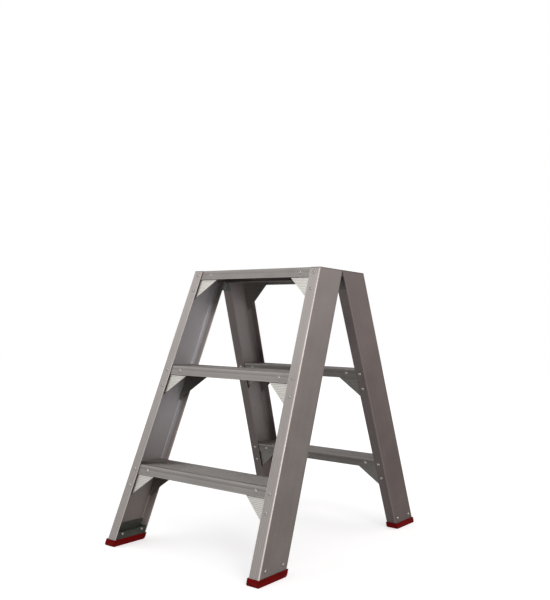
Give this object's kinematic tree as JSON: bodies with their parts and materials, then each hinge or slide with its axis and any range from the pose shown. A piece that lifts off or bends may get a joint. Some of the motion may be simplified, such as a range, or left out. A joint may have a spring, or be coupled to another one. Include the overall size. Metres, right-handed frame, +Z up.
{
  "type": "folding step ladder",
  "caption": "Double-sided folding step ladder: two riveted aluminium frames with ribbed treads, hinged at the top, on red plastic feet.",
  "frame": {"origin": "on the floor, midway between the four feet of the opened ladder", "axes": "+X along the treads, to the right seen from the front frame; +Y from the front frame to the rear frame; +Z up"},
  "size_m": [0.485, 0.7456, 0.7],
  "materials": {
    "stile": "mill-finish extrusion, fine lengthwise lines",
    "tread": "mill-finish extrusion, ribbed top",
    "bracket": "bright ribbed extrusion",
    "rivet": "bright, lightly worn",
    "hinge": "zinc-plated",
    "foot": "moulded, satin, fine grain",
    "foot_plug": "moulded, matte"
  },
  "bodies": {
    "front_frame": {"tread_front_top": "tread", "tread_front_middle": "tread", "tread_front_bottom": "tread", "stile_front_left": "stile", "foot_front_left": "foot", "foot_plug_front_left": "foot_plug", "foot_rivet_front_left_1": "rivet", "foot_rivet_front_left_2": "rivet", "bracket_front_left_top_outer": "bracket", "bracket_front_left_middle_outer": "bracket", "bracket_front_left_middle_inner": "bracket", "bracket_front_left_bottom_outer": "bracket", "bracket_front_left_bottom_inner": "bracket", "hinge_leaf_front_left": "hinge", "hinge_pin_left": "hinge", "stile_front_right": "stile", "foot_front_right": "foot", "foot_plug_front_right": "foot_plug", "foot_rivet_front_right_1": "rivet", "foot_rivet_front_right_2": "rivet", "bracket_front_right_top_outer": "bracket", "bracket_front_right_middle_outer": "bracket", "bracket_front_right_middle_inner": "bracket", "bracket_front_right_bottom_outer": "bracket", "bracket_front_right_bottom_inner": "bracket", "hinge_leaf_front_right": "hinge", "hinge_pin_right": "hinge"},
    "rear_frame": {"tread_rear_top": "tread", "tread_rear_middle": "tread", "tread_rear_bottom": "tread", "stile_rear_left": "stile", "foot_rear_left": "foot", "foot_plug_rear_left": "foot_plug", "foot_rivet_rear_left_1": "rivet", "foot_rivet_rear_left_2": "rivet", "bracket_rear_left_top_outer": "bracket", "bracket_rear_left_middle_outer": "bracket", "bracket_rear_left_middle_inner": "bracket", "bracket_rear_left_bottom_outer": "bracket", "bracket_rear_left_bottom_inner": "bracket", "hinge_leaf_rear_left": "hinge", "stile_rear_right": "stile", "foot_rear_right": "foot", "foot_plug_rear_right": "foot_plug", "foot_rivet_rear_right_1": "rivet", "foot_rivet_rear_right_2": "rivet", "bracket_rear_right_top_outer": "bracket", "bracket_rear_right_middle_outer": "bracket", "bracket_rear_right_middle_inner": "bracket", "bracket_rear_right_bottom_outer": "bracket", "bracket_rear_right_bottom_inner": "bracket", "hinge_leaf_rear_right": "hinge"}
  },
  "joints": [
    {"name": "fold", "type": "hinge", "parent": "front_frame", "child": "rear_frame", "pos_m": [0, 0, 0.688], "axis": [1, 0, 0], "range_deg": [-42, 0]}
  ]
}
